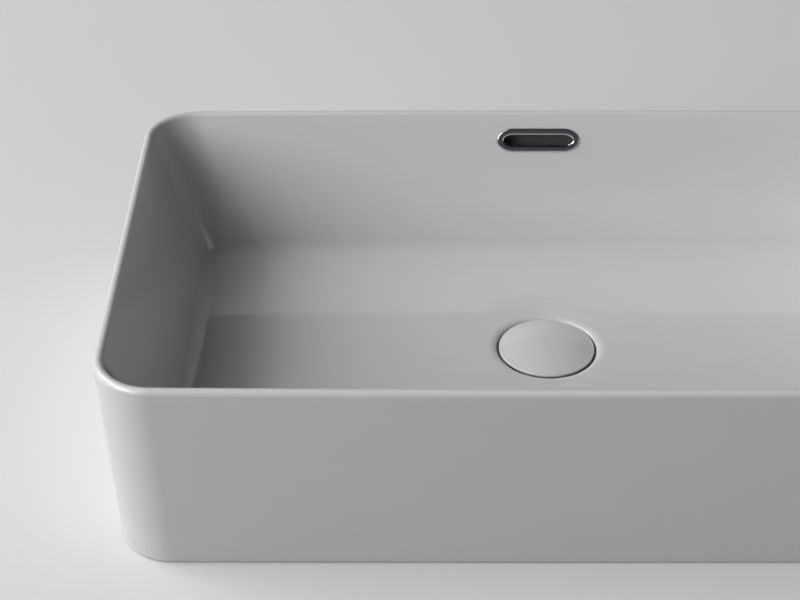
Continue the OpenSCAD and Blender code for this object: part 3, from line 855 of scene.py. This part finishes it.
def cap_section():
    """Half of the cap's section, from the pocket's middle round the edge and over the dome to the axis."""
    low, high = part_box("plug_cap")
    bottom = low.z / MM
    top = high.z / MM
    radius = (high.x - low.x) / 2 / MM
    edge_z = bottom + CAP_EDGE_H
    dome_edge_r = radius - CAP_SHOULDER
    dome_h = top - edge_z
    dome_r = (dome_edge_r ** 2 + dome_h ** 2) / (2 * dome_h)
    span = math.asin(dome_edge_r / dome_r)
    pocket_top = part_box("cap_bond")[1].z / MM
    lead = 4
    under = rounded([
        (0, pocket_top, 0),
        (POCKET_R, pocket_top, CAP_SOFT_R),
        (POCKET_R, bottom, POCKET_EDGE_R),
        (radius - CAP_UNDERCUT, bottom, CAP_SOFT_R),
        (radius, bottom + CAP_EDGE_LOW, CAP_SOFT_R),
        (radius, edge_z, CAP_EDGE_R),
        ((radius + dome_edge_r) / 2 - lead, edge_z + lead * math.tan(span), 0),
    ], closed=False)[:-2]
    dome = [
        (dome_r * math.sin(a), top - dome_r * (1 - math.cos(a)))
        for a in [span * (1 - share) for share in cosine_steps(DOME_STEPS)]
    ]
    dome = [p for p in dome if p[0] < under[-1][0] - HOLD]
    return under + dome


cap = linked("ceramic_cap", turned("ceramic_cap", cap_section()), [GLAZE])
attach(cap, "plug")
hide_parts("plug_cap")


# Waste fitting, with the threads of its tail

# A thread runs out over its last part of a turn, to a share of its depth
RUN_OUT_TURNS = 0.5
RUN_OUT_SHARE = 0.05


def coil_tree():
    """Geometry nodes that sweep a round or many-sided wire along a helix, with its ends run out."""
    tree = bpy.data.node_groups.new("coil", "GeometryNodeTree")
    tree.interface.new_socket("Geometry", in_out="OUTPUT", socket_type="NodeSocketGeometry")
    for label in ("Radius", "Height", "Turns", "Wire Radius"):
        tree.interface.new_socket(label, in_out="INPUT", socket_type="NodeSocketFloat")
    tree.interface.new_socket("Sides", in_out="INPUT", socket_type="NodeSocketInt")
    tree.interface.new_socket("Material", in_out="INPUT", socket_type="NodeSocketMaterial")
    given = node(tree, "NodeGroupInput").outputs
    spiral = node(tree, "GeometryNodeCurveSpiral", {
        "Resolution": COIL_STEPS,
        "Rotations": given["Turns"],
        "Start Radius": given["Radius"],
        "End Radius": given["Radius"],
        "Height": given["Height"],
    })
    upright = node(tree, "GeometryNodeSetCurveNormal", {"Curve": spiral.outputs[0]}, mode="Z_UP")
    along = node(tree, "GeometryNodeSplineParameter")
    to_end = node(tree, "ShaderNodeMath", {0: 1.0, 1: along.outputs["Factor"]}, operation="SUBTRACT")
    nearest = node(tree, "ShaderNodeMath", {
        0: along.outputs["Factor"],
        1: to_end.outputs[0],
    }, operation="MINIMUM")
    turns = node(tree, "ShaderNodeMath", {0: nearest.outputs[0], 1: given["Turns"]}, operation="MULTIPLY")
    runout = node(tree, "ShaderNodeMapRange", {
        "Value": turns.outputs[0],
        "From Min": 0.0,
        "From Max": RUN_OUT_TURNS,
        "To Min": RUN_OUT_SHARE,
        "To Max": 1.0,
    })
    sized = node(tree, "GeometryNodeSetCurveRadius", {
        "Curve": upright.outputs[0],
        "Radius": runout.outputs[0],
    })
    wire = node(tree, "GeometryNodeCurvePrimitiveCircle", {
        "Resolution": given["Sides"],
        "Radius": given["Wire Radius"],
    })
    swept = node(tree, "GeometryNodeCurveToMesh", {
        "Curve": sized.outputs[0],
        "Profile Curve": wire.outputs[0],
        "Fill Caps": True,
    })
    whole = node(tree, "GeometryNodeRealizeInstances", {0: swept.outputs[0]})
    dressed = node(tree, "GeometryNodeSetMaterial", {
        "Geometry": whole.outputs[0],
        "Material": given["Material"],
    })
    result = node(tree, "NodeGroupOutput")
    tree.links.new(dressed.outputs[0], result.inputs[0])
    return tree


COIL = coil_tree()


def coil(low, high, radius, wire_r, sides, material):
    """Mesh of a coil round the drain's axis between two heights in millimetres."""
    carrier = bpy.data.objects.new("coil_work", bpy.data.meshes.new("coil_work"))
    bpy.context.scene.collection.objects.link(carrier)
    modifier = carrier.modifiers.new("coil", "NODES")
    modifier.node_group = COIL
    values = {
        "Radius": radius * MM,
        "Height": (high - low) * MM,
        "Turns": (high - low) / THREAD_PITCH,
        "Wire Radius": wire_r * MM,
        "Sides": sides,
        "Material": material,
    }
    for item in COIL.interface.items_tree:
        if item.name in values:
            modifier[item.identifier] = values[item.name]
    graph = bpy.context.evaluated_depsgraph_get()
    mesh = bpy.data.meshes.new_from_object(carrier.evaluated_get(graph))
    bpy.data.objects.remove(carrier)
    mesh.transform(Matrix.Translation(Vector((0, DRAIN_Y, low)) * MM))
    return mesh


def together(name, meshes):
    """One mesh that holds several."""
    work = bmesh.new()
    for mesh in meshes:
        work.from_mesh(mesh)
    joined = bpy.data.meshes.new(name)
    work.to_mesh(joined)
    work.free()
    return joined


def across_drain(name, section, half_length, turn=0.0):
    """Bar across the drain, with its section given sideways and upwards, turned about the drain's axis."""
    mesh = prism(name, section, half_length)
    mesh.transform(Matrix.Translation((0, DRAIN_Y * MM, 0)) @ Matrix.Rotation(turn, 4, "Z"))
    return mesh


def framed(width, low, high, corner):
    """Corners of an upright rectangle between two heights, for rounding."""
    half = width / 2
    return [(-half, low, corner), (half, low, corner), (half, high, corner), (-half, high, corner)]


def make_waste():
    """Flange, body with its windows, crossbar with the hub, and the tail with its two runs of thread."""
    low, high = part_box("waste_body")
    bottom, top = low.z / MM, high.z / MM
    flange_z = top - FLANGE_T
    core_r = TAIL_R - THREAD_PITCH / 2
    wall = turned("waste_fitting", rounded([
        (BORE_R, bottom, TAIL_BORE_EDGE_R),
        (core_r - TAIL_TIP_IN, bottom, TAIL_TIP_R),
        (core_r + FIT_LINE, bottom + TAIL_EDGE, 0),
        (core_r + FIT_LINE, THREAD_TOP, 0),
        (BODY_R, THREAD_TOP + THREAD_SLOPE, 0),
        (BODY_R, flange_z - SHOULDER_H, 0),
        (SHOULDER_R, flange_z - SHOULDER_H, SHOULDER_EDGE_R),
        (SHOULDER_R, flange_z, SHOULDER_FILLET),
        (FLANGE_R, flange_z, FLANGE_UNDER_R),
        (FLANGE_R, top, FLANGE_EDGE_R),
        (MOUTH_R, top, MOUTH_RIM_R),
        (BORE_R, top - MOUTH_R + BORE_R, MOUTH_EDGE_R),
    ]))
    wall.materials.append(CHROME)
    opening = rounded(framed(WINDOW_W, PORT_Z, PORT_Z + PORT_H, WINDOW_CORNER_R))
    hub_top = PORT_Z - HUB_DROP
    hub_z = hub_top - HUB_H
    bar = rounded(framed(BAR_W, hub_z, hub_top - BAR_EDGE_R, BAR_EDGE_R))
    hub = turned("hub", [
        (0, hub_z),
        (HUB_R - HUB_EDGE, hub_z),
        (HUB_R, hub_z + HUB_EDGE),
        (HUB_R, hub_top - HUB_EDGE),
        (HUB_R - HUB_EDGE, hub_top),
        (0, hub_top),
    ])
    seat_r, seat_h = O_RING_SEAT
    bore = [
        (0, hub_z - CUT_PAST),
        (TUBE_R, hub_z - CUT_PAST),
        (TUBE_R, hub_top - seat_h),
        (seat_r, hub_top - seat_h),
        (seat_r, hub_top + CUT_PAST),
        (0, hub_top + CUT_PAST),
    ]
    body = cut_with("waste_fitting", wall, [
        ("DIFFERENCE", across_drain("window", opening, DRAIN_HOLE_R, math.pi / 4), 0),
        ("DIFFERENCE", across_drain("window", opening, DRAIN_HOLE_R, -math.pi / 4), 0),
        ("UNION", hub, 0),
        ("UNION", across_drain("bar", bar, (BORE_R + core_r) / 2), 0),
        ("DIFFERENCE", turned("hub_bore", bore), 0),
    ])
    wire_r = THREAD_PITCH / 2
    threads = [
        coil(bottom + 2 * TAIL_EDGE, RELIEF[0] - THREAD_LEAD, core_r, wire_r, sides=4, material=CHROME),
        coil(RELIEF[1] + THREAD_LEAD, THREAD_TOP - THREAD_LEAD, core_r, wire_r, sides=4, material=CHROME),
    ]
    return linked("waste_fitting", together("waste_fitting", [body, *threads]), [CHROME])


waste = make_waste()
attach(waste, "basin")
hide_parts("waste_body")


def make_backnut():
    """Hexagonal nut, with its corners turned off at both faces and its bore's edges broken."""
    low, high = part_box("backnut")
    bottom, top = low.z / MM, high.z / MM
    corner_r = NUT_AF / math.sqrt(3)
    turned_off = (corner_r - NUT_AF / 2) / 2
    hexagon = turned("backnut", [(0, bottom), (corner_r, bottom), (corner_r, top), (0, top)], steps=6)
    hexagon.materials.append(BRASS)
    blank = turned("blank", [
        (0, bottom),
        (NUT_AF / 2 - NUT_BEVEL, bottom),
        (corner_r, bottom + turned_off),
        (corner_r, top - turned_off),
        (NUT_AF / 2 - NUT_BEVEL, top),
        (0, top),
    ])
    hole = turned("hole", [
        (0, bottom - CUT_PAST),
        (TAIL_R + NUT_MOUTH, bottom - CUT_PAST),
        (TAIL_R + NUT_MOUTH, bottom),
        (TAIL_R + FIT_LINE, bottom + NUT_LEAD),
        (TAIL_R + FIT_LINE, top - NUT_LEAD),
        (TAIL_R + NUT_MOUTH, top),
        (TAIL_R + NUT_MOUTH, top + CUT_PAST),
        (0, top + CUT_PAST),
    ])
    shape = cut_with("hexagonal_backnut", hexagon, [("INTERSECT", blank, 0), ("DIFFERENCE", hole, 0)])
    return linked("hexagonal_backnut", shape)


backnut = make_backnut()
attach(backnut, "basin")
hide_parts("backnut")


def ring_section(name, nose_h, soft):
    """Section of the tapered gasket or of the flat washer, from its solid's box."""
    low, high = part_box(name)
    inner = TAIL_R + RING_FIT
    bottom, top = low.z / MM, high.z / MM - nose_h
    outer = (high.x - low.x) / 2 / MM
    if nose_h == 0:
        corners = [(inner, bottom), (outer, bottom), (outer, top), (inner, top)]
        return rounded([(radius, z, soft) for radius, z in corners])
    return rounded([
        (inner, bottom, soft / 2),
        (outer, bottom, soft),
        (outer, top, soft),
        (DRAIN_HOLE_R - NOSE_GAP, top, 0),
        (inner + NOSE_FLAT, top + nose_h, NOSE_GAP),
        (inner, top + nose_h, 0),
    ])


gasket_shape = turned("tapered_gasket", ring_section("cone_gasket", nose_h=NOSE_H, soft=1.0))
gasket = linked("tapered_gasket", gasket_shape, [RUBBER])
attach(gasket, "basin")
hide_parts("cone_gasket")

washer_shape = turned("flat_washer", ring_section("slip_washer", nose_h=0, soft=0.35))
washer = linked("flat_washer", washer_shape, [ACETAL])
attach(washer, "basin")
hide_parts("slip_washer")


# Finish of the nodes that stay as the solids have them

FINISHES = {
    "overflow_grip": RUBBER,
    "cap_bond": SILICONE,
    "cap_plate": CHROME,
    "plug_seal": RUBBER,
    "plunger": BRASS,
    "stem_locknut": BRASS,
    "index_rotor": ACETAL,
    "return_spring": STEEL,
    "cartridge_housing": BRASS,
    "cartridge_bush": ACETAL,
    "stem_o_ring": RUBBER,
    "cartridge_end": ACETAL,
    "housing_o_ring": RUBBER,
    "flange_gasket": RUBBER,
}
for name, material in FINISHES.items():
    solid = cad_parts[name]
    for place in solid.material_slots:
        place.material = material
    if not solid.material_slots:
        solid.data.materials.append(material)


# Floor, light and camera

# Radii of the floor's rings round the waste: its cut-out, near the basin, and its far edge
FLOOR_RINGS = (34, 400, 9000)
FLOOR_STEPS_ROUND = 96
SEALANT_T = 0.2
LAMP_DISTANCE = 7
STRIP_SPREAD = math.radians(16)

# Camera: its place in metres, how far it looks down in degrees, and its sensor and lens
CAMERA_AT = (-0.1068, -1.07615, 0.8269)
LOOK_DOWN = 34.4
SENSOR_MM = 36
LENS_MM = 82.85


def make_floor():
    """Pale level floor with a countertop's cut-out for the waste, lower by the foot's sealant."""
    steps = FLOOR_STEPS_ROUND
    points = []
    for radius in FLOOR_RINGS:
        points += [
            (radius * math.cos(a), DRAIN_Y + radius * math.sin(a), -SEALANT_T)
            for a in [2 * math.pi * k / steps for k in range(steps)]
        ]
    faces = []
    for band in range(len(FLOOR_RINGS) - 1):
        here = band * steps
        after = here + steps
        for k in range(steps):
            near = (k + 1) % steps
            faces.append((here + k, after + k, after + near, here + near))
    mesh = bpy.data.meshes.new("floor")
    mesh.from_pydata([Vector(p) * MM for p in points], [], faces)
    material, tree, shader = surface("pale_floor", Roughness=0.9, Specular_IOR_Level=0)
    seen = node(tree, "ShaderNodeLightPath")
    glossy = node(tree, "ShaderNodeMath", {
        0: seen.outputs["Is Camera Ray"],
        1: seen.outputs["Is Glossy Ray"],
    }, operation="MAXIMUM")
    clear = node(tree, "ShaderNodeMath", {
        0: glossy.outputs[0],
        1: seen.outputs["Is Transmission Ray"],
    }, operation="MAXIMUM")
    tones = node(tree, "ShaderNodeMix", {"Factor": clear.outputs[0]}, data_type="RGBA")
    tones.inputs["A"].default_value = linear("#7C7C7E")
    tones.inputs["B"].default_value = linear("#E2E2E3")
    tree.links.new(tones.outputs["Result"], shader.inputs["Base Color"])
    mesh.materials.append(material)
    floor = bpy.data.objects.new("floor", mesh)
    bpy.context.scene.collection.objects.link(floor)


def softbox(name, azimuth, elevation, size, strength, low_strip=False):
    """Area lamp that looks at the basin. Azimuth 0 stands in front of it and 90 to its right.

    A low strip is no higher than the rim, and gridded, so that it lights the outside alone.
    """
    turn, rise = math.radians(azimuth), math.radians(elevation)
    away = Vector((math.sin(turn) * math.cos(rise), -math.cos(turn) * math.cos(rise), math.sin(rise)))
    data = bpy.data.lights.new(name, "AREA")
    data.shape = "RECTANGLE"
    data.size = size
    data.size_y = HEIGHT * MM if low_strip else size
    data.energy = strength * math.pi * data.size * data.size_y
    lamp = bpy.data.objects.new(name, data)
    lamp.location = Vector((0, 0, HEIGHT / 2 * MM)) + away * LAMP_DISTANCE
    lamp.rotation_euler = away.to_track_quat("Z", "Y").to_euler()
    if low_strip:
        data.spread = STRIP_SPREAD
        lamp.visible_camera = False
        lamp.visible_glossy = False
    bpy.context.scene.collection.objects.link(lamp)


def make_world():
    """Studio round the floor: pale at the horizon and dim overhead."""
    world = bpy.data.worlds.new("studio")
    bpy.context.scene.world = world
    world.use_nodes = True
    tree = world.node_tree
    back = tree.nodes["Background"]
    place = node(tree, "ShaderNodeTexCoord")
    split = node(tree, "ShaderNodeSeparateXYZ", {0: place.outputs["Generated"]})
    ramp = node(tree, "ShaderNodeValToRGB", {0: split.outputs["Z"]})
    stops = [(0.0, "#D4D4D6"), (0.035, "#D4D4D6"), (0.08, "#606266"), (0.24, "#45474B"), (0.5, "#1E2023")]
    for height, _ in stops[1:-1]:
        ramp.color_ramp.elements.new(height)
    for element, (height, tone) in zip(ramp.color_ramp.elements, stops):
        element.position = height
        element.color = linear(tone)
    tree.links.new(ramp.outputs["Color"], back.inputs["Color"])
    back.inputs["Strength"].default_value = 1.0


def make_lamps():
    """Large softboxes to the left of the basin, and low strips that lift its right side and its back."""
    softbox("front_softbox", azimuth=-50, elevation=28, size=4.6, strength=3.0)
    softbox("left_front_softbox", azimuth=-65, elevation=28, size=4.6, strength=3.6)
    softbox("left_back_softbox", azimuth=-110, elevation=35, size=4.0, strength=3.45)
    softbox("upper_softbox", azimuth=-90, elevation=60, size=4.0, strength=1.92)
    softbox("right_strip", azimuth=90, elevation=0, size=2.4, strength=1.35, low_strip=True)
    softbox("back_strip", azimuth=180, elevation=0, size=2.4, strength=0.9, low_strip=True)


make_floor()
make_world()
make_lamps()


def make_camera():
    """The photograph's viewpoint, solved from the rim, the foot and the floor."""
    data = bpy.data.cameras.new("camera")
    data.sensor_width = SENSOR_MM
    data.lens = LENS_MM
    camera = bpy.data.objects.new("camera", data)
    camera.location = CAMERA_AT
    camera.rotation_euler = (math.radians(90 - LOOK_DOWN), 0, 0)
    bpy.context.scene.collection.objects.link(camera)
    bpy.context.scene.camera = camera
    bpy.context.scene.view_settings.view_transform = "Standard"


make_camera()
